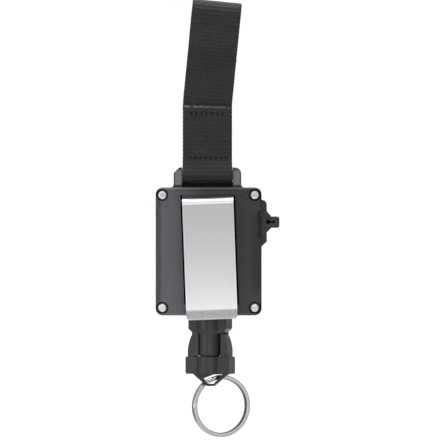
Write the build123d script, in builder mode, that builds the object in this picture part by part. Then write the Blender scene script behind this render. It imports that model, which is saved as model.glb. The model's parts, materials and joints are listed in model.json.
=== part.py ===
from build123d import *
import math
import os

# Retractable tool tether. Millimetres, +Z up, +X to the right seen from the belt clip side, which faces -Y.
# The origin is the top of the inside of the strap's loop, where the bar or belt it hangs from goes.

os.makedirs("parts", exist_ok=True)

# ---- driving dimensions -------------------------------------------------------------------------
Z_CASE = -125.6          # height of the case's centre, below the loop
Y_CASE = 3.0             # the case's middle plane is this far behind the strap, so that it hangs straight
CASE_W, CASE_H = 54.0, 65.2
CASE_CORNER = 3.6
Y_REAR, Y_SPLIT, Y_FRONT = -11.0, 5.0, 11.0
REAR_WALL, SIDE_WALL, FRONT_WALL = 2.4, 2.0, 2.0
SCREW_X, SCREW_Z = 23.5, 28.7

STRAP_W, STRAP_T = 25.4, 1.5      # 1 in webbing
STRAP_X = -0.65
BAR_Z, BAR_R = 39.0, 2.6
LUG_TOP, LUG_HALF = 42.84, 17.25
FLAP_TOP = 74.0
KINK_Z, KINK = 75.6, 5.65
LOOP_TOP = 52.6

DRUM_Z = 3.0
DRUM_R, WIND_R0, WIND_R1 = 19.5, 12.5, 17.3
NOTCHES, NOTCH_AT, NOTCH_R = 24, 7.63, 17.5
SPINDLE_R = 3.0
LINE_R = 0.6

CLIP_W, CLIP_T, CLIP_TILT = 25.9, 1.2, 2.1
LOCK_Y = -3.6
PAWL_X, PAWL_Z = 22.4, -6.0

FIT_X, FIT_YAW = 0.8, -22.0       # the fitting hangs on the line, turned about it
RING_OD, RING_ID, RING_T = 31.8, 27.4, 2.6
RING_YAW = 24.0
RING_X, RING_Z, RING_DY = 6.3, -79.35, -0.85


def facing(y, x=0.0, z=0.0):
    """Vertical plane that faces the belt clip side: local x is X, local y is Z."""
    return Plane(origin=(x, Y_CASE + y, Z_CASE + z), x_dir=(1, 0, 0), z_dir=(0, -1, 0))


def level(z, x=0.0, y=0.0):
    return Plane(origin=(x, Y_CASE + y, Z_CASE + z), x_dir=(1, 0, 0), z_dir=(0, 0, 1))


def side(x, y=0.0, z=0.0):
    """Vertical plane that faces +X: local x is Y, local y is Z."""
    return Plane(origin=(x, Y_CASE + y, Z_CASE + z), x_dir=(0, 1, 0), z_dir=(1, 0, 0))


# ---- rear cover: the deep half of the case, with the strap lug -----------------------------------
CLIP_X, CLIP_Z = 0.56, -0.87
with BuildPart() as rear_cover:
    with BuildSketch(facing(Y_SPLIT)):
        RectangleRounded(CASE_W, CASE_H, CASE_CORNER)
    extrude(amount=Y_SPLIT - Y_REAR)
    fillet(rear_cover.faces().sort_by(Axis.Y)[0].edges(), 1.3)
    # the long rear edges roll off broadly, and the roll-off ends round the corner screws
    for s in (-1, 1):
        with BuildSketch(level(-17.5)) as roll:
            with BuildLine():
                ThreePointArc((s * 20.0, -11.0), (s * 23.3945, -10.5821), (s * 26.5758, -9.3601))
                ThreePointArc((s * 26.5758, -9.3601), (s * 26.8859, -9.0616), (s * 27.0, -8.65))
                Polyline((s * 27.0, -8.65), (s * 27.0, -11.5), (s * 20.0, -11.5), (s * 20.0, -11.0))
            make_face()
        extrude(amount=35.0, mode=Mode.SUBTRACT)
        for z in (-17.5, 17.5):
            with BuildSketch(level(z)):
                add(roll.sketch_local)
            revolve(axis=Axis((s * 27.0, Y_CASE, Z_CASE + z), (0, 1, 0)), mode=Mode.SUBTRACT)
    with BuildSketch(facing(Y_SPLIT)):
        RectangleRounded(CASE_W - 2 * SIDE_WALL, CASE_H - 2 * SIDE_WALL, CASE_CORNER - 1.6)
    extrude(amount=Y_SPLIT - Y_REAR - REAR_WALL, mode=Mode.SUBTRACT)
    # corner bosses
    with BuildSketch(facing(Y_SPLIT)):
        with GridLocations(2 * SCREW_X, 2 * SCREW_Z, 2, 2):
            Circle(3.2)
    extrude(amount=Y_SPLIT - Y_REAR - REAR_WALL + 0.4)
    # strap lug: two ears and the round bar between them
    with BuildSketch(facing(3.0 - Y_CASE)) as lug:
        with Locations((STRAP_X + 0.05, (LUG_TOP + 31.0) / 2)):
            Rectangle(2 * LUG_HALF, LUG_TOP - 31.0)
        fillet(lug.vertices().group_by(Axis.Y)[-1].sort_by(Axis.X)[-1], 3.3)
        chamfer(lug.vertices().group_by(Axis.Y)[-1].sort_by(Axis.X)[0], 2.8)
        with Locations((STRAP_X, CASE_H / 2 + 10)):
            Rectangle(STRAP_W + 0.3, 20, mode=Mode.SUBTRACT)
    extrude(amount=7.4)
    # the ears lean back a little towards their tops
    with BuildSketch(side(STRAP_X - 20, -Y_CASE)):
        Polygon((-4.4, CASE_H / 2 + 1.2), (-2.0, LUG_TOP + 0.2), (-5.4, LUG_TOP + 0.2), (-5.4, CASE_H / 2 + 1.2), align=None)
    extrude(amount=40, mode=Mode.SUBTRACT)
    # the lug's base, a saddle under the strap's bend with a lip behind it
    with BuildSketch(side(STRAP_X + 0.05 - LUG_HALF, -Y_CASE, CASE_H / 2)):
        Polygon((-3.6, -0.6), (3.6, -0.6), (3.6, 2.8), (3.3, 3.1), (1.5, 3.1), (1.5, 1.6), (-3.2, 1.6), (-3.6, 1.2), align=None)
        with Locations((0, BAR_Z - CASE_H / 2)):
            Circle(4.72, mode=Mode.SUBTRACT)
    extrude(amount=2 * LUG_HALF)
    with BuildSketch(side(STRAP_X - STRAP_W / 2 - 1.0, -Y_CASE, BAR_Z)):
        Circle(BAR_R)
    extrude(amount=STRAP_W + 2.0)
    # web under each ear, where it meets the case's top
    with BuildSketch(facing(3.0 - Y_CASE)):
        for s in (-1, 1):
            with BuildLine():
                x0 = STRAP_X + 0.05 + s * (LUG_HALF - 0.1)
                z0 = CASE_H / 2
                Polyline((x0, z0 - 0.4), (x0 + s * 1.7, z0 - 0.4), (x0 + s * 1.7, z0), (x0 + s * 0.5, z0 + 0.5), (x0, z0 + 1.7), close=True)
            make_face()
    extrude(amount=6.0)
    # raised ledge over the clip
    with BuildSketch(facing(Y_REAR + 0.3)):
        with Locations((0.9, 29.85)):
            RectangleRounded(36.4, 1.95, 0.9)
    extrude(amount=1.1)
    # spindle boss and pawl boss inside
    with BuildSketch(facing(-6.0)):
        with Locations((0, DRUM_Z)):
            Circle(5.5)
    extrude(amount=2.8)
    with BuildSketch(facing(-5.4)):
        with Locations((PAWL_X, PAWL_Z)):
            Circle(2.2)
    extrude(amount=3.4)
    # spindle's hexagonal socket, pawl pin hole
    with BuildSketch(facing(-6.0)):
        with Locations((0, DRUM_Z)):
            RegularPolygon(SPINDLE_R, 6)
    extrude(amount=3.2, mode=Mode.SUBTRACT)
    with BuildSketch(facing(-5.4)):
        with Locations((PAWL_X, PAWL_Z)):
            Circle(0.9)
    extrude(amount=4.0, mode=Mode.SUBTRACT)
    # screw holes and head pockets
    with BuildSketch(facing(Y_SPLIT)):
        with GridLocations(2 * SCREW_X, 2 * SCREW_Z, 2, 2):
            Circle(1.7)
    extrude(amount=20, mode=Mode.SUBTRACT)
    with BuildSketch(facing(-9.1)):
        with GridLocations(2 * SCREW_X, 2 * SCREW_Z, 2, 2):
            Circle(3.0)
    extrude(amount=4, mode=Mode.SUBTRACT)
    # recess for the clip's rear leg, and rivet holes
    with BuildSketch(facing(Y_REAR + CLIP_T)):
        with Locations((CLIP_X - 0.55, CLIP_Z + 15.4)):
            Rectangle(CLIP_W + 0.6, 26.0, rotation=CLIP_TILT)
    extrude(amount=3, mode=Mode.SUBTRACT)
    with BuildSketch(facing(-6)):
        with Locations((CLIP_X - 7.4, 11.6), (CLIP_X + 6.6, 12.1)):
            Circle(1.2)
    extrude(amount=6, mode=Mode.SUBTRACT)
    # grooves in the case along both sides of the clip
    with BuildSketch(facing(Y_REAR + 1.4)):
        for s in (-1, 1):
            with Locations((CLIP_X + s * (CLIP_W / 2 + 0.45), CLIP_Z + 1.6)):
                SlotOverall(56.0, 1.1, rotation=90 + CLIP_TILT)
    extrude(amount=3, mode=Mode.SUBTRACT)
    # slot for the lock's stem, and the groove beside it
    with BuildSketch(side(24.0, LOCK_Y, 12.9)):
        Rectangle(4.0, 10.8)
    extrude(amount=5, mode=Mode.SUBTRACT)
    with BuildSketch(facing(Y_REAR + 1.7)):
        with Locations((25.75, 14.2)):
            SlotOverall(12.8, 1.3, rotation=90)
    extrude(amount=3, mode=Mode.SUBTRACT)
    # line outlet
    with BuildSketch(level(-28.0, FIT_X)):
        Circle(3.0)
    extrude(amount=-6, mode=Mode.SUBTRACT)
rear_cover.part.label = "rear_cover"
export_step(rear_cover.part, "parts/rear_cover.step")

# ---- front cover: lid with a raised flat pad -------------------------------------------------------
with BuildPart() as front_cover:
    with BuildSketch(facing(Y_FRONT)):
        RectangleRounded(CASE_W, CASE_H, CASE_CORNER)
    extrude(amount=Y_FRONT - Y_SPLIT)
    fillet(front_cover.faces().sort_by(Axis.Y)[-1].edges(), 2.2)
    with BuildSketch(facing(Y_FRONT + 0.6)):
        RectangleRounded(38, 48, 5)
    extrude(amount=1.0)
    fillet(front_cover.faces().sort_by(Axis.Y)[-1].edges(), 0.4)
    with BuildSketch(facing(Y_FRONT - FRONT_WALL)):
        RectangleRounded(CASE_W - 2 * SIDE_WALL, CASE_H - 2 * SIDE_WALL, CASE_CORNER - 1.6)
    extrude(amount=6, mode=Mode.SUBTRACT)
    with BuildSketch(facing(Y_FRONT - FRONT_WALL + 0.5)):
        with GridLocations(2 * SCREW_X, 2 * SCREW_Z, 2, 2):
            Circle(3.2)
    extrude(amount=4.5)
    with BuildSketch(facing(9.0)):
        with GridLocations(2 * SCREW_X, 2 * SCREW_Z, 2, 2):
            Circle(2.2)
    extrude(amount=5, mode=Mode.SUBTRACT)
    with BuildSketch(facing(10.4)):
        with Locations((0, DRUM_Z)):
            Circle(2.6)
    extrude(amount=3, mode=Mode.SUBTRACT)
front_cover.part.label = "front_cover"
export_step(front_cover.part, "parts/front_cover.step")

# ---- screws and their inserts ----------------------------------------------------------------------
with BuildPart() as case_screws:
    with BuildSketch(facing(8.4)):
        with GridLocations(2 * SCREW_X, 2 * SCREW_Z, 2, 2):
            Circle(1.5)
    extrude(amount=17.7)
    with BuildSketch(facing(-9.1)):
        with GridLocations(2 * SCREW_X, 2 * SCREW_Z, 2, 2):
            Circle(2.35)
    extrude(amount=1.9)
    fillet(case_screws.faces().group_by(Axis.Y)[0].edges(), 1.2)
    with BuildSketch(facing(-10.0)):
        for x in (-SCREW_X, SCREW_X):
            for z in (-SCREW_Z, SCREW_Z):
                with Locations((x, z)):
                    Rectangle(2.5, 0.6, rotation=x + z)
                    Rectangle(0.6, 2.5, rotation=x + z)
    extrude(amount=3, mode=Mode.SUBTRACT)
case_screws.part.label = "case_screws"
export_step(case_screws.part, "parts/case_screws.step")

with BuildPart() as threaded_inserts:
    with BuildSketch(facing(8.9)):
        with GridLocations(2 * SCREW_X, 2 * SCREW_Z, 2, 2):
            Circle(2.2)
            Circle(1.5, mode=Mode.SUBTRACT)
    extrude(amount=3.7)
threaded_inserts.part.label = "threaded_inserts"
export_step(threaded_inserts.part, "parts/threaded_inserts.step")

# ---- belt clip: one bent strip ----------------------------------------------------------------------
t = math.radians(CLIP_TILT)
clip_n = Vector(math.cos(t), 0, math.sin(t))
clip_up = Vector(-math.sin(t), 0, math.cos(t))
clip_o = Vector(CLIP_X, Y_CASE, Z_CASE + CLIP_Z)
CLIP_FRONT, CLIP_BACK = -16.8, Y_REAR + CLIP_T / 2
CLIP_TOP = 28.2
with BuildPart() as belt_clip:
    with BuildSketch(Plane(origin=clip_o - clip_n * (CLIP_W / 2), x_dir=(0, 1, 0), z_dir=clip_n)):
        with BuildLine() as strip:
            FilletPolyline((CLIP_BACK, 3.4), (CLIP_BACK, CLIP_TOP - 0.6), (CLIP_FRONT, CLIP_TOP - 0.6),
                           (CLIP_FRONT + 0.5, -27.9), (CLIP_FRONT + 3.34, -33.4), radius=[3.1, 3.1, 1.0])
        trace(strip.line, line_width=CLIP_T)
    extrude(amount=CLIP_W)
    with BuildSketch(Plane(origin=clip_o + Vector(0, 4, 0), x_dir=clip_n, z_dir=(0, -1, 0))) as outline:
        with Locations((0, -2.8)):
            Rectangle(CLIP_W, 62.6)
        fillet(outline.vertices().group_by(Axis.Y)[0], 2.6)
    extrude(amount=40, mode=Mode.INTERSECT)
    with BuildSketch(facing(-6)):
        with Locations((CLIP_X - 7.4, 11.6), (CLIP_X + 6.6, 12.1)):
            Circle(1.2)
    extrude(amount=6, mode=Mode.SUBTRACT)
belt_clip.part.label = "belt_clip"
export_step(belt_clip.part, "parts/belt_clip.step")

with BuildPart() as clip_rivets:
    with BuildSketch(facing(-8.6)):
        with Locations((CLIP_X - 7.4, 11.6), (CLIP_X + 6.6, 12.1)):
            Circle(1.2)
    extrude(amount=2.4)
    with BuildSketch(facing(-7.8)):
        with Locations((CLIP_X - 7.4, 11.6), (CLIP_X + 6.6, 12.1)):
            Circle(2.0)
    extrude(amount=0.8)
    with BuildSketch(facing(-11.0)):
        with Locations((CLIP_X - 7.4, 11.6), (CLIP_X + 6.6, 12.1)):
            Circle(2.2)
    extrude(amount=0.7)
clip_rivets.part.label = "clip_rivets"
export_step(clip_rivets.part, "parts/clip_rivets.step")

# ---- spindle, washer, drum ---------------------------------------------------------------------------
with BuildPart() as spindle:
    with BuildSketch(facing(9.0)):
        with Locations((0, DRUM_Z)):
            Circle(SPINDLE_R)
    extrude(amount=15.0)
    with BuildSketch(facing(-6.0)):
        with Locations((0, DRUM_Z)):
            RegularPolygon(SPINDLE_R, 6)
    extrude(amount=3.1)
    with BuildSketch(facing(10.3)):
        with Locations((0, DRUM_Z)):
            Circle(2.6)
    extrude(amount=1.3)
    with BuildSketch(facing(11.0)):
        with Locations((0, DRUM_Z)):
            Rectangle(7.0, 0.8)
    extrude(amount=7.4, mode=Mode.SUBTRACT)
spindle.part.label = "spindle"
export_step(spindle.part, "parts/spindle.step")

with BuildPart() as thrust_washer:
    with BuildSketch(facing(-5.5)):
        with Locations((0, DRUM_Z)):
            Circle(5.5)
            Circle(SPINDLE_R, mode=Mode.SUBTRACT)
    extrude(amount=0.5)
thrust_washer.part.label = "thrust_washer"
export_step(thrust_washer.part, "parts/thrust_washer.step")

with BuildPart() as line_drum:
    with BuildSketch(facing(8.0, z=DRUM_Z)):          # spring cup and front flange
        Circle(DRUM_R)
    extrude(amount=6.0)
    with BuildSketch(facing(8.0, z=DRUM_Z)):
        Circle(18.0)
    extrude(amount=4.8, mode=Mode.SUBTRACT)
    with BuildSketch(facing(2.0, z=DRUM_Z)):          # hub under the winding
        Circle(WIND_R0)
    extrude(amount=4.0)
    with BuildSketch(facing(-2.0, z=DRUM_Z)):         # rear flange
        Circle(DRUM_R)
    extrude(amount=1.2)
    with BuildSketch(facing(-3.2, z=DRUM_Z)):         # notched lock ring
        Circle(DRUM_R)
        with PolarLocations(NOTCH_R + 2.0, NOTCHES, start_angle=NOTCH_AT):
            Rectangle(4.0, 2.8, mode=Mode.SUBTRACT)
    extrude(amount=2.0)
    with BuildSketch(facing(1.0, z=DRUM_Z)):          # lightening pocket
        Circle(10.6)
        Circle(6.2, mode=Mode.SUBTRACT)
    extrude(amount=7.0, mode=Mode.SUBTRACT)
    with BuildSketch(facing(9.0, z=DRUM_Z)):
        Circle(4.0)
    extrude(amount=16.0, mode=Mode.SUBTRACT)
line_drum.part.label = "line_drum"
export_step(line_drum.part, "parts/line_drum.step")

with BuildPart() as drum_bushing:
    with BuildSketch(facing(3.2, z=DRUM_Z)):
        Circle(4.0)
        Circle(SPINDLE_R + 0.05, mode=Mode.SUBTRACT)
    extrude(amount=8.4)
drum_bushing.part.label = "drum_bushing"
export_step(drum_bushing.part, "parts/drum_bushing.step")

with BuildPart() as spring_cover:
    with BuildSketch(facing(8.6, z=DRUM_Z)):
        Circle(DRUM_R)
        Circle(3.5, mode=Mode.SUBTRACT)
        with PolarLocations(11.0, 6):
            Circle(1.5, mode=Mode.SUBTRACT)
    extrude(amount=0.6)
spring_cover.part.label = "spring_cover"
export_step(spring_cover.part, "parts/spring_cover.step")

with BuildPart() as line_winding:
    with BuildSketch(level(DRUM_Z)):
        with BuildLine():
            Line((WIND_R0, -1.9), (WIND_R0, 1.9))
            Line((WIND_R0, 1.9), (WIND_R1 - 0.55, 1.9))
            ThreePointArc((WIND_R1 - 0.55, 1.9), (WIND_R1, 1.2667), (WIND_R1 - 0.55, 0.6333))
            ThreePointArc((WIND_R1 - 0.55, 0.6333), (WIND_R1, 0.0), (WIND_R1 - 0.55, -0.6333))
            ThreePointArc((WIND_R1 - 0.55, -0.6333), (WIND_R1, -1.2667), (WIND_R1 - 0.55, -1.9))
            Line((WIND_R1 - 0.55, -1.9), (WIND_R0, -1.9))
        make_face()
    revolve(axis=Axis((0, Y_CASE, Z_CASE + DRUM_Z), (0, 1, 0)))
line_winding.part.label = "line_winding"
export_step(line_winding.part, "parts/line_winding.step")

# ---- power spring: flat spiral of half turns, inner end bent into the spindle's slot -----------------
SPIRAL_R0, SPIRAL_PITCH, HALF_TURNS = 3.75, 1.6, 17
with BuildPart() as power_spring:
    with BuildSketch(facing(7.8, z=DRUM_Z)):
        with BuildLine() as spiral:
            Line((0.8, 0.0), (SPIRAL_R0, 0.0))
            x, r, s = SPIRAL_R0, SPIRAL_R0, 1
            for i in range(HALF_TURNS):
                rr = r + SPIRAL_PITCH / 4
                cx = x - s * rr
                x2 = cx - s * rr
                ThreePointArc((x, 0), (cx, s * rr), (x2, 0))
                x, r, s = x2, rr + SPIRAL_PITCH / 4, -s
        trace(spiral.line, line_width=0.35)
    extrude(amount=4.2)
power_spring.part.label = "power_spring"
export_step(power_spring.part, "parts/power_spring.step")
print("power spring outer radius", abs(x) + 0.175)

# ---- line from the drum to the ferrule ----------------------------------------------------------------
OUT_Z = -27.5
d = math.hypot(FIT_X, DRUM_Z - OUT_Z)
start_r = WIND_R1 + 0.9
turn = math.asin(start_r / d) + math.atan2(FIT_X, DRUM_Z - OUT_Z)
run = math.sqrt(d * d - start_r * start_r)
lead_top = (FIT_X - run * math.sin(turn), OUT_Z + run * math.cos(turn))
with BuildPart() as line_lead:
    with BuildLine(facing(0.0)) as route:
        FilletPolyline(lead_top, (FIT_X, OUT_Z), (FIT_X, -33.7), radius=6.0)
    lead_path = route.wire()
    with BuildSketch(Plane(origin=lead_path @ 0, z_dir=lead_path % 0)):
        Circle(LINE_R)
    sweep(path=lead_path)
line_lead.part.label = "line_lead"
export_step(line_lead.part, "parts/line_lead.step")
print("line lead length", lead_path.length, "volume ratio", line_lead.part.volume / (math.pi * LINE_R**2 * lead_path.length), "bend radius 6.0")

with BuildPart() as outlet_grommet:
    with BuildSketch(level(-CASE_H / 2, FIT_X)):
        Circle(3.0)
        Circle(1.0, mode=Mode.SUBTRACT)
    extrude(amount=2.0)
    with BuildSketch(level(-CASE_H / 2 + 2.0, FIT_X)):
        Circle(4.2)
        Circle(1.0, mode=Mode.SUBTRACT)
    extrude(amount=0.9)
outlet_grommet.part.label = "outlet_grommet"
export_step(outlet_grommet.part, "parts/outlet_grommet.step")

# ---- thumb lock -------------------------------------------------------------------------------------
with BuildPart() as lock_slider:
    with BuildSketch(facing(LOCK_Y + 4.2)) as plate:
        with BuildLine():
            Polyline((27.06, 26.4), (28.6, 25.9), (29.6, 24.6), (29.7, 20.6), (32.0, 17.8), (36.1, 17.8), (36.1, 12.0), (32.0, 12.0),
                     (29.7, 9.6), (29.7, 4.9), (28.6, 4.0), (27.06, 2.5), close=True)
        make_face()
        fillet(plate.vertices().sort_by(Axis.X)[-2:], 1.2)
    extrude(amount=8.4)
    fillet(lock_slider.faces().sort_by(Axis.Y)[0].edges().filter_by_position(Axis.X, 27.4, 40), 0.5)
    fillet(lock_slider.faces().sort_by(Axis.Y)[-1].edges().filter_by_position(Axis.X, 27.4, 40), 0.5)
    # stem through the case wall, with a cam corner at its inner end
    with BuildSketch(facing(LOCK_Y + 1.8)):
        with BuildLine():
            Polyline((27.3, 17.9), (21.2, 17.9), (21.2, 13.4), (22.7, 11.9), (27.3, 11.9), close=True)
        make_face()
    extrude(amount=3.6)
    # keyhole recess in the knob's face
    with BuildSketch(facing(LOCK_Y - 2.0)):
        with Locations((30.4, 15.0)):
            Circle(1.05)
        with Locations((33.1, 15.0)):
            Circle(0.7)
        with Locations((31.7, 15.0)):
            Rectangle(2.4, 0.7)
    extrude(amount=3, mode=Mode.SUBTRACT)
lock_slider.part.label = "lock_slider"
export_step(lock_slider.part, "parts/lock_slider.step")

with BuildPart() as lock_retainer:
    with BuildSketch(side(23.8, LOCK_Y, 14.9)):
        RectangleRounded(8.6, 10.0, 1.0)
        Rectangle(3.6, 6.0, mode=Mode.SUBTRACT)
    extrude(amount=0.9)
lock_retainer.part.label = "lock_retainer"
export_step(lock_retainer.part, "parts/lock_retainer.step")

with BuildPart() as lock_detent_spring:
    with BuildSketch(side(22.6)):
        with BuildLine() as leaf:
            Polyline((1.7, 24.6), (1.7, 17.0), (1.25, 15.0), (1.7, 13.0), (1.7, 6.0))
        trace(leaf.line, line_width=0.3)
    extrude(amount=2.4)
lock_detent_spring.part.label = "lock_detent_spring"
export_step(lock_detent_spring.part, "parts/lock_detent_spring.step")

with BuildPart() as lock_pawl:
    with BuildSketch(facing(-3.4)):
        with Locations((PAWL_X, PAWL_Z)):
            Circle(1.9)
        with BuildLine():
            Polyline((22.0, -6.0), (23.4, -6.0), (23.4, 7.9), (22.2, 9.4), (22.0, 9.4), close=True)
        make_face()
        with BuildLine():
            Polyline((22.2, 4.9), (22.2, 7.1), (19.9, 6.8), (19.9, 5.2), close=True)
        make_face()
        with Locations((PAWL_X, PAWL_Z)):
            Circle(0.95, mode=Mode.SUBTRACT)
    extrude(amount=1.6)
lock_pawl.part.label = "lock_pawl"
export_step(lock_pawl.part, "parts/lock_pawl.step")

with BuildPart() as pawl_pin:
    with BuildSketch(facing(-3.2)):
        with Locations((PAWL_X, PAWL_Z)):
            Circle(0.9)
    extrude(amount=6.1)
    with BuildSketch(facing(-2.6)):
        with Locations((PAWL_X, PAWL_Z)):
            Circle(1.6)
    extrude(amount=0.6)
pawl_pin.part.label = "pawl_pin"
export_step(pawl_pin.part, "parts/pawl_pin.step")

# ---- quick-connect fitting ---------------------------------------------------------------------------
yaw = math.radians(FIT_YAW)
fit_u = Vector(math.cos(yaw), math.sin(yaw), 0)     # along the fitting's wings
fit_v = Vector(-math.sin(yaw), math.cos(yaw), 0)    # through its thickness, away from the clip side
fit_o = Vector(FIT_X, Y_CASE, Z_CASE)


def fit_face(depth):
    return Plane(origin=fit_o + fit_v * depth, x_dir=fit_u, z_dir=fit_v * -1)


def fit_level(z):
    return Plane(origin=fit_o + Vector(0, 0, z), x_dir=fit_u, z_dir=(0, 0, 1))


with BuildPart() as line_ferrule:
    with BuildSketch(fit_level(-39.8)):
        Circle(3.0)
    extrude(amount=1.6)
    with BuildSketch(fit_level(-38.2)):
        Circle(1.8)
    extrude(amount=4.4)
    fillet(line_ferrule.edges().sort_by(Axis.Z)[-1], 0.4)
line_ferrule.part.label = "line_ferrule"
export_step(line_ferrule.part, "parts/line_ferrule.step")

with BuildPart() as connector_cap:
    with BuildSketch(fit_face(4.0)) as cap_face:
        with BuildLine():
            Polyline((-10.5, -33.2), (10.5, -33.2), (10.5, -39.7), (7.9, -41.9), (-7.9, -41.9), (-10.5, -39.7), close=True)
        make_face()
        fillet(cap_face.vertices().group_by(Axis.Y)[-1], 0.9)
        fillet(cap_face.vertices().group_by(Axis.Y)[1], 0.8)
    extrude(amount=8.0)
    with BuildSketch(fit_level(-33.2)):
        Circle(7.0)
    extrude(amount=-7.2)
    with BuildSketch(fit_level(-40.4)):
        Circle(7.0)
    extrude(amount=-1.5, taper=24)
    with BuildSketch(fit_face(4.7)) as rear_wall:      # flaps behind the arms, either side of the socket
        with Locations((0, -47.0)):
            Rectangle(16.6, 12.8)
        fillet(rear_wall.vertices().group_by(Axis.Y)[0], 1.2)
    extrude(amount=1.0)
    with BuildSketch(fit_face(-3.7)) as front_flap:
        with Locations((-6.5, -47.2)):
            Rectangle(3.5, 12.2)
        fillet(front_flap.vertices().group_by(Axis.Y)[0], 0.8)
    extrude(amount=0.9)
    with BuildSketch(fit_level(-41.9)):
        Circle(6.05)
    extrude(amount=-14, mode=Mode.SUBTRACT)
    with BuildSketch(fit_level(-33.0)):
        Circle(1.88)
    extrude(amount=-6, mode=Mode.SUBTRACT)
    with BuildSketch(fit_level(-38.15)):
        Circle(3.1)
    extrude(amount=-2.2, mode=Mode.SUBTRACT)
    with BuildSketch(fit_level(-40.2)):
        Circle(5.0)
    extrude(amount=-3, mode=Mode.SUBTRACT)
connector_cap.part.label = "connector_cap"
export_step(connector_cap.part, "parts/connector_cap.step")

with BuildPart() as connector_socket:
    with BuildSketch(fit_level(-53.5)):
        Circle(6.0)
    extrude(amount=11.6)
    fillet(connector_socket.faces().sort_by(Axis.Z)[0].edges(), 0.5)
    with BuildSketch(fit_level(-41.9)):
        Circle(5.0)
    extrude(amount=1.7)
    with BuildSketch(fit_level(-43.9)):
        Circle(4.9)
    extrude(amount=-12, mode=Mode.SUBTRACT)
connector_socket.part.label = "connector_socket"
export_step(connector_socket.part, "parts/connector_socket.step")

EYE_T, EYE_U = 1.8, 0.3
PLUG_TOP, PLUG_LOW = -53.9, -62.8
with BuildPart() as connector_plug:
    with BuildSketch(fit_face(4.0)) as block_face:
        with Locations((0, (PLUG_TOP + PLUG_LOW) / 2)):
            Rectangle(24.2, PLUG_TOP - PLUG_LOW)
        fillet(block_face.vertices(), 0.8)
    extrude(amount=8.0)
    with BuildSketch(fit_level(PLUG_TOP)):
        Circle(6.9)
    extrude(amount=PLUG_LOW - PLUG_TOP)
    with BuildSketch(fit_level(PLUG_TOP)):
        Circle(4.8)
    extrude(amount=9.4)
    fillet(connector_plug.faces().sort_by(Axis.Z)[-1].edges(), 0.8)
    with BuildSketch(fit_level(-50.0)):
        Circle(2.6)
    extrude(amount=10, mode=Mode.SUBTRACT)
    # V shaped eye
    with BuildSketch(fit_face(EYE_T / 2)) as eye:
        with BuildLine():
            Polyline((EYE_U - 9.6, -62.0), (EYE_U - 9.6, -62.9), (EYE_U - 2.1, -69.0), (EYE_U + 2.1, -69.0), (EYE_U + 9.6, -62.9), (EYE_U + 9.6, -62.0), close=True)
        make_face()
        fillet(eye.vertices().group_by(Axis.Y)[0], 0.8)
        with BuildLine():
            Polyline((EYE_U + 3.4, -62.4), (EYE_U - 3.9, -65.1), (EYE_U - 3.9, -65.6), (EYE_U - 1.8, -67.9), (EYE_U + 1.8, -67.9), (EYE_U + 7.4, -62.4), close=True)
        make_face(mode=Mode.SUBTRACT)
    extrude(amount=EYE_T)
connector_plug.part.label = "connector_plug"
export_step(connector_plug.part, "parts/connector_plug.step")


with BuildPart() as latch_arm_left:
    with BuildSketch(fit_face(3.5)):
        with BuildLine():
            Spline((-11.0, -53.8), (-11.0, -50.6), (-10.3, -46.6), (-7.9, -42.0), tangents=((0, 1), (0.75, 0.66)))
            Polyline((-7.9, -42.0), (-7.2, -42.0), (-7.0, -53.4), (-8.2, -53.8), (-11.0, -53.8))
        make_face()
    extrude(amount=7.0)
latch_arm_left.part.label = "latch_arm_left"
export_step(latch_arm_left.part, "parts/latch_arm_left.step")

with BuildPart() as latch_arm_right:
    with BuildSketch(fit_face(3.5)):
        with BuildLine():
            Spline((11.0, -53.8), (11.0, -50.6), (10.3, -46.6), (7.9, -42.0), tangents=((0, 1), (-0.75, 0.66)))
            Polyline((7.9, -42.0), (7.2, -42.0), (7.0, -53.4), (8.2, -53.8), (11.0, -53.8))
        make_face()
    extrude(amount=7.0)
latch_arm_right.part.label = "latch_arm_right"
export_step(latch_arm_right.part, "parts/latch_arm_right.step")

# ---- split ring: two coils with a parting groove, through the eye ----------------------------------------
ryaw = math.radians(RING_YAW)
eye_c = fit_o + fit_u * EYE_U + Vector(0, 0, -65.0)
ring_dir = Vector(math.cos(ryaw), math.sin(ryaw), 0)
ring_shift = (RING_X - eye_c.X) / math.cos(ryaw)
ring_o = Vector(eye_c.X, eye_c.Y + RING_DY, Z_CASE + RING_Z) + ring_dir * ring_shift
ring_n = Vector(-math.sin(ryaw), math.cos(ryaw), 0)
print("ring centre", ring_o, "normal", ring_n, "eye", eye_c)
R0, R1, H = RING_ID / 2, RING_OD / 2, RING_T / 2
with BuildPart() as split_ring:
    with BuildSketch(Plane(origin=ring_o, x_dir=ring_dir, z_dir=ring_dir.cross(ring_n))):
        with BuildLine():
            Polyline((R0 + 0.3, -H), (R1 - 0.3, -H), (R1, -H + 0.3), (R1, -0.2), (R1 - 0.25, 0), (R1, 0.2), (R1, H - 0.3), (R1 - 0.3, H),
                     (R0 + 0.3, H), (R0, H - 0.3), (R0, 0.2), (R0 + 0.25, 0), (R0, -0.2), (R0, -H + 0.3), close=True)
        make_face()
    revolve(axis=Axis(ring_o, ring_n))
split_ring.part.label = "split_ring"
export_step(split_ring.part, "parts/split_ring.step")

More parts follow.
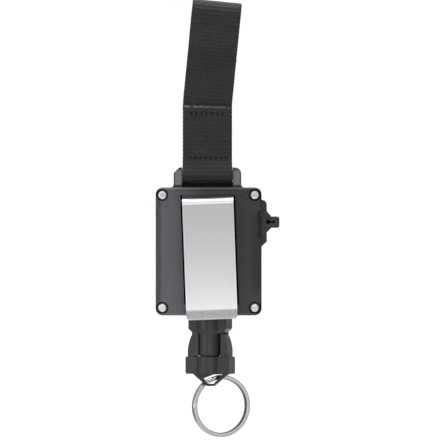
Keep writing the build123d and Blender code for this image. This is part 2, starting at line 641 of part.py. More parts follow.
# ---- strap ----------------------------------------------------------------------------------------------
k = math.radians(KINK)
lean_u = Vector(math.cos(k), 0, -math.sin(k))      # across the leaning part
lean_w = Vector(math.sin(k), 0, math.cos(k))       # up along it
kink_o = Vector(STRAP_X, 0, Z_CASE + KINK_Z)
half_k = math.radians(KINK / 2)
mitre = Plane(origin=kink_o, x_dir=(0, 1, 0), z_dir=(math.sin(half_k), 0, math.cos(half_k)))
P1, P2, HALF_T = 0.78, 4.48, STRAP_T / 2
LOOP_R = 6.2
with BuildPart() as strap_upper:
    with BuildSketch(Plane(origin=kink_o - lean_u * (STRAP_W / 2), x_dir=(0, 1, 0), z_dir=lean_u)):
        with BuildLine() as loop:
            top = LOOP_TOP - HALF_T
            FilletPolyline((P1, -4), (P1, 27), (-LOOP_R, 39), (-LOOP_R, top), (LOOP_R, top), (LOOP_R, 39), (P2, 27), (P2, 2.5),
                           radius=[9, 9, LOOP_R - 0.05, LOOP_R - 0.05, 9, 9])
        trace(loop.line, line_width=STRAP_T)
    extrude(amount=STRAP_W)
    split(bisect_by=mitre, keep=Keep.TOP)
with BuildPart() as strap_webbing:
    with BuildSketch(side(STRAP_X - STRAP_W / 2, -Y_CASE)):
        with BuildLine() as wrap:
            FilletPolyline((-P1, FLAP_TOP), (-P1, 46.5), (-5.514, 35.35), (5.514, 35.35), (P1, 46.5), (P1, KINK_Z + 4),
                           radius=[4, 3.6, 3.6, 4])
        trace(wrap.line, line_width=STRAP_T)
    extrude(amount=STRAP_W)
    split(bisect_by=mitre, keep=Keep.BOTTOM)
    add(strap_upper.part)
strap_webbing.part.label = "strap_webbing"
export_step(strap_webbing.part, "parts/strap_webbing.step")
print("webbing developed length", wrap.wire().length - 4 + loop.wire().length - 4)

with BuildPart() as strap_stitching:
    with BuildSketch(facing(-P1 - HALF_T - Y_CASE)):
        with Locations((STRAP_X - 0.3, 70.6), (STRAP_X - 0.3, 47.8)):
            with GridLocations(2.54, 1, 7, 1):
                SlotOverall(1.9, 0.6)
        for s in (-1, 1):
            for i in range(10):
                f = (i + 0.5) / 10 - 0.5
                if s < 0 and i in (4, 5):
                    continue
                with Locations((STRAP_X + s * 17.5 * f, 59.1 + 21.0 * f)):
                    SlotOverall(1.9, 0.6, rotation=s * math.degrees(math.atan2(21.0, 17.5)))
    extrude(amount=0.35)
strap_stitching.part.label = "strap_stitching"
export_step(strap_stitching.part, "parts/strap_stitching.step")

with BuildPart() as loop_patch:
    with BuildSketch(Plane(origin=kink_o + Vector(0, P1 + HALF_T + 1.2, 0), x_dir=lean_u, z_dir=(0, -1, 0))):
        with Locations((0, 14.0)):
            RectangleRounded(23.0, 20.0, 1.0)
    extrude(amount=1.2)
loop_patch.part.label = "loop_patch"
export_step(loop_patch.part, "parts/loop_patch.step")

with BuildPart() as hook_patch:
    with BuildSketch(Plane(origin=kink_o + Vector(0, P2 - HALF_T, 0), x_dir=lean_u, z_dir=(0, -1, 0))):
        with Locations((0, 14.0)):
            RectangleRounded(22.0, 19.0, 1.0)
    extrude(amount=P2 - HALF_T - P1 - HALF_T - 1.2)
hook_patch.part.label = "hook_patch"
export_step(hook_patch.part, "parts/hook_patch.step")
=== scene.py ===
import bpy, bmesh, math, json, random
from mathutils import Vector, Matrix, noise


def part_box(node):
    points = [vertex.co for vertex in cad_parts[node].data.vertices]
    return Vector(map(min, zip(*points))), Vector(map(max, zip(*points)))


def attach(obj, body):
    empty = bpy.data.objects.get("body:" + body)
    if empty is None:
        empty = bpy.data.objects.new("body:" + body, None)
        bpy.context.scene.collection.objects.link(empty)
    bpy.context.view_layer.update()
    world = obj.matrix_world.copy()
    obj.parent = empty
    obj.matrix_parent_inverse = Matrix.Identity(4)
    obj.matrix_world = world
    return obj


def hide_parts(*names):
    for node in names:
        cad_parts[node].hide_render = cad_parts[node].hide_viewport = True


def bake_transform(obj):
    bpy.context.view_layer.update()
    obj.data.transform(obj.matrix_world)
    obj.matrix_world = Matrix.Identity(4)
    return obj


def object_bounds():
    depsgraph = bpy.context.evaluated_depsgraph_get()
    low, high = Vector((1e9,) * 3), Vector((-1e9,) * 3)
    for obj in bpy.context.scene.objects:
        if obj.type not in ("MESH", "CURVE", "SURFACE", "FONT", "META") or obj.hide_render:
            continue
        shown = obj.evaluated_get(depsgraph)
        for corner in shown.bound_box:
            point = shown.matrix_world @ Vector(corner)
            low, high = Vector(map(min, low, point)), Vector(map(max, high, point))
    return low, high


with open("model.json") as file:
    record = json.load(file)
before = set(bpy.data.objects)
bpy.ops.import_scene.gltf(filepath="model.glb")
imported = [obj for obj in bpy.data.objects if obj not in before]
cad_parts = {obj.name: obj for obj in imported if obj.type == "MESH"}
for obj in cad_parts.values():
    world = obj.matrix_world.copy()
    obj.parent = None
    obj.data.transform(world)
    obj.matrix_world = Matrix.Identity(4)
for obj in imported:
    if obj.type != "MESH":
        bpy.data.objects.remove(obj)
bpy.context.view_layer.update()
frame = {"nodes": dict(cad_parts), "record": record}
nodes = frame["nodes"]
scene = bpy.context.scene
MM = 0.001

# the case's centre, its rear face, the clip, the fitting's axis and the split ring, in metres, from the frame
clip_lo, clip_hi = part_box("belt_clip")
cov_lo, cov_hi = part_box("front_cover")
Z_CASE = (cov_lo.z + cov_hi.z) / 2
sock_lo, sock_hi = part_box("connector_socket")
FIT = Vector(((sock_lo.x + sock_hi.x) / 2, (sock_lo.y + sock_hi.y) / 2, 0))
Y_REAR = clip_lo.y + 0.0064                      # the case's rear face
TILT = math.radians(2.1)                         # the clip's lean
CLIP_N = Vector((math.cos(TILT), 0, math.sin(TILT)))
CLIP_O = Vector((0.00056, 0, Z_CASE - 0.00087))
ring_mount = [m for m in frame["record"]["mounts"] if m["name"] == "split_ring"][0]
RC = Vector(ring_mount["pos_m"])
RNRM = Vector(ring_mount["axis"]).normalized()


# ---------------------------------------------------------------------------------------- materials
def new_mat(name):
    m = bpy.data.materials.new(name)
    m.use_nodes = True
    nt = m.node_tree
    for n in list(nt.nodes):
        nt.nodes.remove(n)
    out = nt.nodes.new("ShaderNodeOutputMaterial")
    b = nt.nodes.new("ShaderNodeBsdfPrincipled")
    nt.links.new(b.outputs[0], out.inputs[0])
    return m, nt, b


def N(nt, kind, **inputs):
    n = nt.nodes.new("ShaderNode" + kind)
    for k, v in inputs.items():
        k = k.replace("_", " ")
        if k in n.inputs:
            n.inputs[k].default_value = v
        else:
            setattr(n, k.replace(" ", "_"), v)
    return n


def coords(nt, scale=(1, 1, 1), rot=(0, 0, 0)):
    tc = nt.nodes.new("ShaderNodeTexCoord")
    mp = nt.nodes.new("ShaderNodeMapping")
    mp.inputs["Scale"].default_value = scale
    mp.inputs["Rotation"].default_value = rot
    nt.links.new(tc.outputs["Object"], mp.inputs["Vector"])
    return mp.outputs[0]


def noise_tex(nt, vec, scale, detail=4.0, rough=0.55, distortion=0.0):
    n = nt.nodes.new("ShaderNodeTexNoise")
    n.inputs["Scale"].default_value = scale
    n.inputs["Detail"].default_value = detail
    n.inputs["Roughness"].default_value = rough
    n.inputs["Distortion"].default_value = distortion
    nt.links.new(vec, n.inputs["Vector"])
    return n.outputs["Fac"]


def ramp(nt, fac, stops):
    r = nt.nodes.new("ShaderNodeValToRGB")
    e = r.color_ramp.elements
    while len(e) > 1:
        e.remove(e[-1])
    e[0].position, e[0].color = stops[0][0], (*stops[0][1], 1)
    for p, c in stops[1:]:
        x = e.new(p)
        x.color = (*c, 1)
    nt.links.new(fac, r.inputs[0])
    return r.outputs[0]


def maprange(nt, fac, a, b, c, d):
    r = nt.nodes.new("ShaderNodeMapRange")
    for k, v in zip((1, 2, 3, 4), (a, b, c, d)):
        r.inputs[k].default_value = v
    nt.links.new(fac, r.inputs[0])
    return r.outputs[0]


def bump(nt, height, strength, distance, normal=None):
    b = nt.nodes.new("ShaderNodeBump")
    b.inputs["Strength"].default_value = strength
    b.inputs["Distance"].default_value = distance
    nt.links.new(height, b.inputs["Height"])
    if normal is not None:
        nt.links.new(normal, b.inputs["Normal"])
    return b.outputs[0]


def mul(nt, a, b, kind="MULTIPLY"):
    m = nt.nodes.new("ShaderNodeMath")
    m.operation = kind
    for i, v in enumerate((a, b)):
        if isinstance(v, (int, float)):
            m.inputs[i].default_value = float(v)
        else:
            nt.links.new(v, m.inputs[i])
    return m.outputs[0]


def mixc(nt, fac, a, b, kind="MIX"):
    m = nt.nodes.new("ShaderNodeMix")
    m.data_type = "RGBA"
    m.blend_type = kind
    for sock, v in ((m.inputs[0], fac), (m.inputs[6], a), (m.inputs[7], b)):
        if isinstance(v, (int, float)):
            sock.default_value = v
        elif isinstance(v, tuple):
            sock.default_value = (*v, 1)
        else:
            nt.links.new(v, sock)
    return m.outputs[2]


def dot_with(nt, axis, offset=0.0):
    """Object position along an axis, less an offset."""
    tc = nt.nodes.new("ShaderNodeTexCoord")
    d = nt.nodes.new("ShaderNodeVectorMath")
    d.operation = "DOT_PRODUCT"
    nt.links.new(tc.outputs["Object"], d.inputs[0])
    d.inputs[1].default_value = tuple(axis)
    return mul(nt, d.outputs["Value"], offset, "SUBTRACT")


def recess_shade_mask(nt):
    """Painted shade: 1 in the grooves beside the clip, the screw pockets, the lock's groove and the saddle under the
    strap, where shade falls; 0 elsewhere.
    """
    x = dot_with(nt, (1, 0, 0))
    y = dot_with(nt, (0, 1, 0), Y_REAR)
    z = dot_with(nt, (0, 0, 1), Z_CASE)
    deep = mul(nt, maprange(nt, y, 0.00012, 0.0005, 0.0, 1.0), maprange(nt, y, 0.0023, 0.0026, 1.0, 0.0))
    u = mul(nt, dot_with(nt, CLIP_N, CLIP_O.dot(CLIP_N)), 0.0, "ABSOLUTE")
    clip = mul(nt, maprange(nt, u, 0.0142, 0.0148, 1.0, 0.0), maprange(nt, mul(nt, z, 0.0, "ABSOLUTE"), 0.0305, 0.031, 1.0, 0.0))
    dx = mul(nt, mul(nt, x, 0.0, "ABSOLUTE"), 0.0235, "SUBTRACT")
    dz = mul(nt, mul(nt, z, 0.0, "ABSOLUTE"), 0.0287, "SUBTRACT")
    r = mul(nt, mul(nt, mul(nt, dx, 2.0, "POWER"), mul(nt, dz, 2.0, "POWER"), "ADD"), 0.5, "POWER")
    screw = maprange(nt, r, 0.0031, 0.0034, 1.0, 0.0)
    lx = mul(nt, mul(nt, x, 0.02575, "SUBTRACT"), 0.0, "ABSOLUTE")
    lz = mul(nt, mul(nt, z, 0.0142, "SUBTRACT"), 0.0, "ABSOLUTE")
    lock = mul(nt, maprange(nt, lx, 0.0007, 0.0009, 1.0, 0.0), maprange(nt, lz, 0.0068, 0.0072, 1.0, 0.0))
    lock = mul(nt, lock, 0.45)
    sx = mul(nt, mul(nt, x, 0.00065, "ADD"), 0.0, "ABSOLUTE")
    saddle = mul(nt, maprange(nt, sx, 0.0126, 0.0134, 0.9, 0.0), mul(nt, maprange(nt, z, 0.0326, 0.0331, 0.0, 1.0), maprange(nt, z, 0.0352, 0.0358, 1.0, 0.0)))
    saddle = mul(nt, saddle, maprange(nt, dot_with(nt, (0, 1, 0)), 0.0028, 0.0034, 1.0, 0.0))
    return mul(nt, mul(nt, deep, mul(nt, clip, mul(nt, screw, lock, "MAXIMUM"), "MAXIMUM")), saddle, "MAXIMUM")


def painted_highlight_mask(nt):
    """Painted highlight: lighter on the left half of the rear face and on the front of the lug's ears, where light
    falls.
    """
    x = dot_with(nt, (1, 0, 0))
    y = dot_with(nt, (0, 1, 0), Y_REAR)
    m = mul(nt, maprange(nt, x, -0.002, -0.019, 0.0, 1.0), maprange(nt, x, -0.0236, -0.0252, 1.0, 0.2))
    m = mul(nt, m, maprange(nt, y, 0.0005, 0.0012, 1.0, 0.0))
    z = dot_with(nt, (0, 0, 1), Z_CASE)
    ex = mul(nt, mul(nt, x, 0.0006, "ADD"), 0.0, "ABSOLUTE")
    e = mul(nt, maprange(nt, ex, 0.0131, 0.0136, 0.0, 1.0), maprange(nt, ex, 0.0161, 0.0168, 1.0, 0.0))
    e = mul(nt, e, mul(nt, maprange(nt, z, 0.0335, 0.0345, 0.0, 1.0), maprange(nt, z, 0.0405, 0.0418, 1.0, 0.0)))
    e = mul(nt, e, maprange(nt, dot_with(nt, (0, 1, 0)), -0.0022, -0.0012, 1.5, 0.0))
    return m, e


def plastic(name, base, rough=0.5, grain=1400.0, grain_h=0.00004, speck=0.25, coat=0.0, spec=0.5, shade_and_highlight=False, keyhole_shade=False):
    """Moulded plastic: a fine spark-eroded grain, slow tonal drift, faint scuffs that raise the gloss; on request
    painted shade in the keyhole and recesses, and painted highlight on the rear face and ears.
    """
    m, nt, b = new_mat(name)
    v = coords(nt)
    big = noise_tex(nt, v, 90.0, 3.0)
    fine = noise_tex(nt, v, grain, 3.0, 0.6)
    mid = noise_tex(nt, v, grain * 0.35, 2.0, 0.5)
    dark = tuple(c * (1 - speck) for c in base)
    light = tuple(min(1, c * (1 + speck)) for c in base)
    col = ramp(nt, fine, [(0.3, dark), (0.5, base), (0.72, light)])
    tone = ramp(nt, big, [(0.3, (0.93, 0.93, 0.95)), (0.7, (1.06, 1.06, 1.04))])
    col = mixc(nt, 1.0, col, tone, "MULTIPLY")
    b.inputs["Specular IOR Level"].default_value = spec
    # painted shade: the keyhole recess in the lock slider is coloured near-black
    if keyhole_shade:
        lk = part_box("lock_slider")[0]
        kx = mul(nt, maprange(nt, dot_with(nt, (1, 0, 0)), 0.0284, 0.0287, 0.0, 1.0), maprange(nt, dot_with(nt, (1, 0, 0)), 0.0345, 0.0348, 1.0, 0.0))
        kz = maprange(nt, mul(nt, dot_with(nt, (0, 0, 1), Z_CASE + 0.015), 0.0, "ABSOLUTE"), 0.0013, 0.0016, 1.0, 0.0)
        ky = dot_with(nt, (0, 1, 0), lk.y)
        painted_shade_mask = mul(nt, mul(nt, kx, kz), mul(nt, maprange(nt, ky, 0.0002, 0.0006, 0.0, 1.0), maprange(nt, ky, 0.0030, 0.0034, 1.0, 0.0)))
        col = mixc(nt, painted_shade_mask, col, (0.003, 0.003, 0.003))
        nt.links.new(maprange(nt, painted_shade_mask, 0.0, 1.0, spec, 0.03), b.inputs["Specular IOR Level"])
    if shade_and_highlight:
        # painted highlight: the left half of the rear face and the fronts of the lug's ears are coloured lighter
        face, ear_highlight = painted_highlight_mask(nt)
        patchy = maprange(nt, noise_tex(nt, coords(nt), 60.0, 3.0), 0.3, 0.7, 0.8, 1.0)
        col = mixc(nt, mul(nt, face, patchy), col, (0.112, 0.114, 0.131))
        col = mixc(nt, mul(nt, ear_highlight, patchy), col, (0.155, 0.156, 0.174))
        # painted shade: the grooves, screw pockets, lock groove and saddle are coloured near-black with little gloss
        painted_shade_mask = recess_shade_mask(nt)
        col = mixc(nt, painted_shade_mask, col, (0.004, 0.004, 0.004))
        nt.links.new(maprange(nt, painted_shade_mask, 0.0, 1.0, spec, 0.03), b.inputs["Specular IOR Level"])
    nt.links.new(col, b.inputs["Base Color"])
    scuff = noise_tex(nt, coords(nt, (1.0, 1.0, 6.0)), 260.0, 6.0, 0.7)
    r = maprange(nt, scuff, 0.35, 0.7, rough + 0.06, rough - 0.08)
    nt.links.new(r, b.inputs["Roughness"])
    n1 = bump(nt, mid, 0.35, grain_h * 2)
    nt.links.new(bump(nt, fine, 0.6, grain_h, n1), b.inputs["Normal"])
    if coat:
        b.inputs["Coat Weight"].default_value = coat
        b.inputs["Coat Roughness"].default_value = 0.35
    return m


def metal(name, base, rough=0.3, brush=None, brush_h=0.000006, spots=0.0, aniso=0.0):
    """Metal with fine directional brushing (brush = scale along x, y, z) and slight staining."""
    m, nt, b = new_mat(name)
    b.inputs["Metallic"].default_value = 1.0
    v = coords(nt, brush or (1, 1, 1))
    streak = noise_tex(nt, v, 900.0, 5.0, 0.65)
    stain = noise_tex(nt, coords(nt), 120.0, 4.0, 0.6)
    dark = tuple(c * 0.93 for c in base)
    light = tuple(min(1.0, c * 1.04) for c in base)
    col = ramp(nt, streak, [(0.3, dark), (0.7, light)])
    st = ramp(nt, stain, [(0.35, (0.96 - spots, 0.96 - spots, 0.965 - spots)), (0.65, (1.0, 1.0, 1.0))])
    nt.links.new(mixc(nt, 1.0, col, st, "MULTIPLY"), b.inputs["Base Color"])
    nt.links.new(maprange(nt, streak, 0.3, 0.7, rough - 0.05, rough + 0.07), b.inputs["Roughness"])
    nt.links.new(bump(nt, streak, 0.35, brush_h), b.inputs["Normal"])
    b.inputs["Anisotropic"].default_value = aniso
    return m


def fabric(name, base, rough=0.8, scale=3000.0, sheen=0.3, stretch=(1, 1, 1), weave_shade=False):
    m, nt, b = new_mat(name)
    v = coords(nt, stretch)
    f1 = noise_tex(nt, v, scale, 3.0, 0.6)
    f2 = noise_tex(nt, coords(nt), 220.0, 4.0, 0.6)
    col = ramp(nt, f1, [(0.3, tuple(c * 0.6 for c in base)), (0.55, base), (0.75, tuple(min(1, c * 1.7) for c in base))])
    tone = ramp(nt, f2, [(0.3, (0.8, 0.8, 0.8)), (0.7, (1.2, 1.2, 1.2))])
    col = mixc(nt, 1.0, col, tone, "MULTIPLY")
    if weave_shade:
        # painted shade and highlight: the crevice attribute darkens the weave's hollows and needle holes and lightens
        # the rib tops
        at = nt.nodes.new("ShaderNodeAttribute")
        at.attribute_name = "crevice_shade_and_tone"
        col = mixc(nt, 1.0, col, ramp(nt, at.outputs["Fac"], [(0.0, (1.3, 1.3, 1.3)), (0.35, (0.95, 0.95, 0.95)), (0.65, (0.55, 0.55, 0.55)), (1.0, (0.05, 0.05, 0.05))]), "MULTIPLY")
        nt.links.new(maprange(nt, at.outputs["Fac"], 0.6, 1.0, 0.5, 0.05), b.inputs["Specular IOR Level"])
    nt.links.new(col, b.inputs["Base Color"])
    nt.links.new(maprange(nt, f1, 0.3, 0.7, rough + 0.08, rough - 0.1), b.inputs["Roughness"])
    nt.links.new(bump(nt, f1, 0.5, 0.00006), b.inputs["Normal"])
    b.inputs["Sheen Weight"].default_value = sheen
    b.inputs["Sheen Roughness"].default_value = 0.5
    return m


def clip_metal():
    """Satin steel: brushed along the clip; the turned-in lip below the crease is duller and speckled, with painted
    shade darkening it and a painted highlight on its bottom edge; the clip's side edges carry a painted highlight.
    """
    m, nt, b = new_mat("clip_steel")
    b.inputs["Metallic"].default_value = 1.0
    v = coords(nt, (14.0, 14.0, 1.0))
    streak = noise_tex(nt, v, 900.0, 5.0, 0.65)
    speck = noise_tex(nt, coords(nt), 1500.0, 3.0, 0.7)
    up = (-math.sin(TILT), 0, math.cos(TILT))
    h = dot_with(nt, up, CLIP_O.dot(Vector(up)))
    lip = maprange(nt, h, -0.0283, -0.0292, 0.0, 1.0)
    edge = maprange(nt, h, -0.0324, -0.0332, 0.0, 1.0)
    satin = ramp(nt, streak, [(0.3, (0.76, 0.767, 0.782)), (0.7, (0.82, 0.826, 0.838))])
    # painted shade: the lip's base is much darker than the satin face, over its real speckle; a painted highlight
    # lightens its bottom edge
    speckled_lip_shade = ramp(nt, speck, [(0.32, (0.31, 0.31, 0.32)), (0.5, (0.41, 0.41, 0.42)), (0.68, (0.52, 0.52, 0.53))])
    speckled_lip_shade = mixc(nt, edge, speckled_lip_shade, (0.52, 0.52, 0.52))
    # painted highlight: the clip's side edges are coloured near-white
    side_rim_highlight = maprange(nt, mul(nt, dot_with(nt, CLIP_N, CLIP_O.dot(CLIP_N)), 0.0, "ABSOLUTE"), 0.01235, 0.0127, 0.0, 1.0)
    satin = mixc(nt, side_rim_highlight, satin, (0.97, 0.97, 0.97))
    nt.links.new(mixc(nt, lip, satin, speckled_lip_shade), b.inputs["Base Color"])
    r = maprange(nt, streak, 0.3, 0.7, 0.30, 0.42)
    nt.links.new(mul(nt, r, mul(nt, lip, 0.12), "ADD"), b.inputs["Roughness"])
    nt.links.new(bump(nt, speck, 0.25, 0.00001, bump(nt, streak, 0.35, 0.000004)), b.inputs["Normal"])
    return m


def ring_metal():
    """Bright nickel, with painted shade in the parting line between the coils and along the coil's inner and outer
    edges.
    """
    m, nt, b = new_mat("ring_nickel")
    b.inputs["Metallic"].default_value = 1.0
    f = noise_tex(nt, coords(nt), 700.0, 4.0, 0.6)
    off = mul(nt, dot_with(nt, RNRM, RC.dot(RNRM)), 0.0, "ABSOLUTE")
    tc = nt.nodes.new("ShaderNodeTexCoord")
    sub = nt.nodes.new("ShaderNodeVectorMath")
    sub.operation = "DISTANCE"
    nt.links.new(tc.outputs["Object"], sub.inputs[0])
    sub.inputs[1].default_value = tuple(RC)
    r2 = mul(nt, mul(nt, sub.outputs["Value"], 2.0, "POWER"), mul(nt, off, 2.0, "POWER"), "SUBTRACT")
    r = mul(nt, r2, 0.5, "POWER")
    # painted shade: the parting line between the coils and the coil's inner and outer edges are coloured dark
    inner_edge_shade = maprange(nt, r, 0.01385, 0.01415, 1.0, 0.0)
    outer_edge_shade = maprange(nt, r, 0.0156, 0.01585, 0.0, 0.75)
    parting_line_shade = maprange(nt, off, 0.00012, 0.0003, 1.0, 0.0)
    dark = mul(nt, inner_edge_shade, mul(nt, outer_edge_shade, parting_line_shade, "MAXIMUM"), "MAXIMUM")
    col = ramp(nt, f, [(0.3, (0.93, 0.927, 0.918)), (0.7, (0.98, 0.977, 0.968))])
    nt.links.new(mixc(nt, dark, col, (0.10, 0.10, 0.10)), b.inputs["Base Color"])
    nt.links.new(maprange(nt, f, 0.3, 0.7, 0.12, 0.2), b.inputs["Roughness"])
    nt.links.new(bump(nt, f, 0.3, 0.000003), b.inputs["Normal"])
    return m


MAT = {}
MAT["case_plastic"] = plastic("case_plastic", (0.036, 0.0365, 0.040), 0.42, 1500.0, 0.00003, 0.22, shade_and_highlight=True)
MAT["lock_plastic"] = plastic("lock_plastic", (0.033, 0.033, 0.0335), 0.5, 1300.0, 0.00005, 0.3, keyhole_shade=True)
MAT["fitting_plastic"] = plastic("fitting_plastic", (0.030, 0.030, 0.0305), 0.38, 1200.0, 0.00005, 0.32)
MAT["drum_plastic"] = plastic("drum_plastic", (0.70, 0.69, 0.64), 0.42, 900.0, 0.00003, 0.04)
MAT["clip_steel"] = clip_metal()
MAT["screw_steel"] = metal("screw_steel", (0.98, 0.98, 0.97), 0.52, (1, 1, 1), 0.000004, 0.06)
MAT["spring_steel"] = metal("spring_steel", (0.30, 0.31, 0.34), 0.3, (1, 1, 12), 0.000004, 0.05)
MAT["pin_steel"] = metal("pin_steel", (0.60, 0.61, 0.63), 0.25, (1, 1, 8), 0.000004, 0.04)
MAT["brass"] = metal("brass", (0.78, 0.58, 0.26), 0.28, (1, 6, 1), 0.000004, 0.05)
MAT["ring_nickel"] = ring_metal()
MAT["webbing"] = fabric("webbing", (0.0175, 0.0175, 0.0182), 0.78, 2600.0, 0.14, weave_shade=True)
MAT["thread"] = fabric("thread", (0.011, 0.011, 0.0115), 0.6, 5200.0, 0.2)
MAT["hook_loop"] = fabric("hook_loop", (0.018, 0.018, 0.019), 0.9, 4200.0, 0.5)
MAT["line_cord"] = fabric("line_cord", (0.035, 0.035, 0.037), 0.6, 4000.0, 0.2)

slot_of = {s["node"]: s["material_slot"] for s in frame["record"]["subparts"]}
for name, ob in nodes.items():
    ob.data.materials.clear()
    ob.data.materials.append(MAT[slot_of[name]])


# ---------------------------------------------------------------------------------------- mesh tools
def make(name, verts, faces, mat, body, smooth=True):
    me = bpy.data.meshes.new(name)
    me.from_pydata([tuple(v) for v in verts], [], faces)
    me.validate()
    ob = bpy.data.objects.new(name, me)
    scene.collection.objects.link(ob)
    me.materials.append(mat)
    if smooth:
        me.polygons.foreach_set("use_smooth", [True] * len(me.polygons))
    bm = bmesh.new()
    bm.from_mesh(me)
    bmesh.ops.recalc_face_normals(bm, faces=bm.faces)
    bm.to_mesh(me)
    bm.free()
    me.update()
    if body:
        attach(ob, body)
    return ob


def round_path(pts, radii, step):
    """Points along straight runs joined by arcs, about every step."""
    P = [Vector((p[0], p[1])) for p in pts]
    out = [P[0]]
    for i in range(1, len(P) - 1):
        a, b, c = P[i - 1], P[i], P[i + 1]
        d1, d2 = (a - b).normalized(), (c - b).normalized()
        ang = math.acos(max(-1, min(1, d1.dot(d2))))
        r = radii[i - 1]
        cut = r / math.tan(ang / 2)
        t1, t2 = b + d1 * cut, b + d2 * cut
        mid = b + (d1 + d2).normalized() * (r / math.sin(ang / 2))
        sweep = math.pi - ang
        n = max(3, int(sweep * r / step))
        a0 = math.atan2(t1.y - mid.y, t1.x - mid.x)
        a1 = math.atan2(t2.y - mid.y, t2.x - mid.x)
        da = (a1 - a0 + math.pi) % (2 * math.pi) - math.pi
        prev = out[-1]
        k = max(1, int((t1 - prev).length / step))
        out += [prev.lerp(t1, j / k) for j in range(1, k + 1)]
        out += [mid + Vector((math.cos(a0 + da * j / n), math.sin(a0 + da * j / n))) * r for j in range(1, n + 1)]
    k = max(1, int((P[-1] - out[-1]).length / step))
    last = out[-1]
    out += [last.lerp(P[-1], j / k) for j in range(1, k + 1)]
    return out


def resample(pts, step):
    lens = [0.0]
    for a, b in zip(pts, pts[1:]):
        lens.append(lens[-1] + (b - a).length)
    n = int(round(lens[-1] / step))
    res, j = [], 0
    for i in range(n + 1):
        s = lens[-1] * i / n
        while j < len(lens) - 2 and lens[j + 1] < s:
            j += 1
        t = 0 if lens[j + 1] == lens[j] else (s - lens[j]) / (lens[j + 1] - lens[j])
        res.append(pts[j].lerp(pts[j + 1], max(0, min(1, t))))
    return res, lens[-1]


# ---------------------------------------------------------------------------------------- strap
# heights are above the case's centre, in mm; the strap leans over between BEND0 and BEND1
BAR_Z, KINK_Z, KINK = 39.0, 75.6, math.radians(5.65)
STRAP_X, STRAP_W, HALF_T = -0.65, 25.4, 0.75
BEND0, BEND1 = KINK_Z - 5.0, KINK_Z + 5.0
P1, P2, TOP = 0.78, 4.48, 52.6 - 0.75


def lean(h):
    """Centre of the strap (x, z) and its lean at height h along it."""
    if h <= BEND0:
        return STRAP_X, h, 0.0
    n = 12
    x, z, top = STRAP_X, BEND0, min(h, BEND1)
    for i in range(n):
        t = (i + 0.5) / n * (top - BEND0) / (BEND1 - BEND0)
        a = KINK * t * t * (3 - 2 * t)
        x += math.sin(a) * (top - BEND0) / n
        z += math.cos(a) * (top - BEND0) / n
    t = (top - BEND0) / (BEND1 - BEND0)
    a = KINK * t * t * (3 - 2 * t)
    if h > BEND1:
        x += math.sin(a) * (h - BEND1)
        z += math.cos(a) * (h - BEND1)
    return x, z, a


_cache = {}


def on_strap(u, y, h):
    k = round(h, 4)
    if k not in _cache:
        _cache[k] = lean(h)
    x, z, a = _cache[k]
    return Vector(((x + u * math.cos(a)) * MM, y * MM, (z - u * math.sin(a)) * MM + Z_CASE))


corners = [(-P1, 74.0), (-P1, 46.5), (-5.514, 35.35), (5.514, 35.35), (P1, 46.5), (P1, KINK_Z + 27),
           (-6.2, KINK_Z + 39), (-6.2, KINK_Z + TOP), (6.2, KINK_Z + TOP), (6.2, KINK_Z + 39), (P2, KINK_Z + 27), (P2, KINK_Z + 2.5)]
radii = [4, 3.6, 3.6, 4, 9, 9, 6.15, 6.15, 9, 9]
fine = round_path(corners, radii, 0.1)
STEP = 0.3
line2d, strap_len = resample(fine, STEP)
print("strap length", round(strap_len, 1))

PITCH = 2.1          # one rib of the weave along the strap
COLS = 22            # bundles of warp yarn across it
rnd = random.Random(7)


# needle holes of the two sewn rows: (x, height) above the case's centre
HOLES = [(-8.2 + 2.66 * i, 70.4 - 0.03 * i) for i in range(7)] + [(-8.6 + 2.6 * i, 47.9 - 0.04 * i) for i in range(8)]


def pit(x, h):
    """Depth of the needle hole at a place on the sewn part, 0 to 1."""
    best = 0.0
    for hx, hh in HOLES:
        dx, dh = (x - hx) / 0.72, (h - hh) / 1.3
        if abs(dx) < 1 and abs(dh) < 1:
            best = max(best, (1 - min(1.0, dx * dx + dh * dh)) ** 0.7)
    return best


def weave(s, u):
    """How far the surface lies below the highest rib, in mm, and how much painted shade the crevice there gets, with a
    little random tone.
    """
    c = (u / STRAP_W + 0.5) * COLS
    col = math.floor(c)
    f = c - col
    ph = s / PITCH + (0.07 if col % 2 else 0.0) + 0.12 * noise.noise(Vector((col * 0.9, s * 0.12, 0)))
    rib = 0.5 + 0.5 * math.cos(2 * math.pi * ph)
    across = math.sqrt(max(0.0, 1 - (2 * f - 1) ** 2 * 0.85))
    h = 0.55 * rib + 0.45 * across * (0.6 + 0.4 * rib)
    h += 0.12 * noise.noise(Vector((u * 0.35, s * 0.25, 4.0)))
    patch = 0.5 + 0.5 * noise.noise(Vector((u * 0.16, s * 0.11, 2.0)))
    dark = (0.22 + 0.38 * patch) * (1 - rib) ** 2.0 + 0.22 * (1 - across) + 0.22 * noise.noise(Vector((u * 1.3, s * 1.1, 9.0)))
    return 0.26 * (1 - max(0.0, min(1.0, h))), max(0.0, min(0.66, dark))


def edge_w(s, side):
    """Half width at a place along the strap: scalloped by the picks, a little uneven."""
    rag = 0.11 * (0.5 - 0.5 * math.cos(2 * math.pi * s / PITCH + side)) + 0.10 * (0.5 + 0.5 * noise.noise(Vector((s * 0.13, side * 7.0, 1.0))))
    # the edges lie close to the lug's ears where the strap goes round the bar
    k = max(0.0, min(1.0, abs(s - 39.0) / 9.0 - 0.6))
    return STRAP_W / 2 + 0.07 * (1 - k) - rag * k


NU = 74
crevice_shade_and_tone = []


